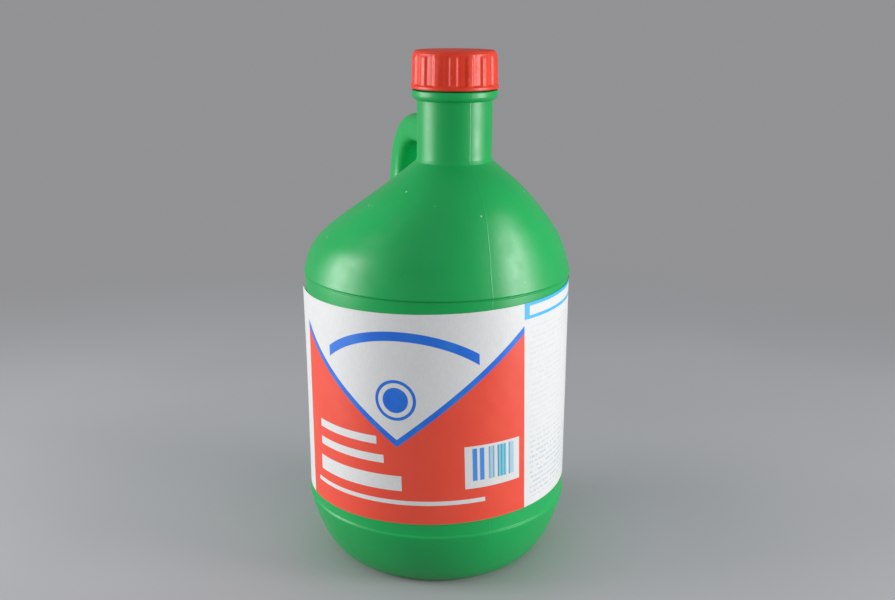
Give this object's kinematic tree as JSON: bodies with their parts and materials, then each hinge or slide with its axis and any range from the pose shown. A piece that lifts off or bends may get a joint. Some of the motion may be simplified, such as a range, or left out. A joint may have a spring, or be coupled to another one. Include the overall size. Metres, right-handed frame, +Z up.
{
  "type": "bleach bottle",
  "caption": "Round plastic jug with an offset neck, a finger handle behind it, a ribbed screw cap and a paper label round the front.",
  "frame": {"origin": "middle of the base, on the surface that the bottle stands on", "axes": "+Z up along the body; the neck is set off toward -Y and the handle stands behind it toward +Y"},
  "size_m": [0.156, 0.156, 0.2994],
  "materials": {
    "green_plastic": "satin",
    "red_plastic": "satin",
    "white_foam": "matte",
    "printed_paper": "coated"
  },
  "bodies": {
    "jug": {"bottle": "green_plastic", "label": "printed_paper"},
    "seal": {"cap_liner": "white_foam"},
    "closure": {"cap": "red_plastic"}
  },
  "joints": [
    {"name": "cap_lift", "type": "slide", "parent": "jug", "child": "seal", "axis": [0, 0, 1], "range_m": [0, 0.018]},
    {"name": "cap_turn", "type": "hinge", "parent": "seal", "child": "closure", "pos_m": [0, -0.0253, 0.2793], "axis": [0, 0, 1], "range_deg": [0, 1530]}
  ],
  "couplings": [
    {"joint": "cap_lift", "follows": "cap_turn", "m_per_rad": 0.00067323}
  ]
}
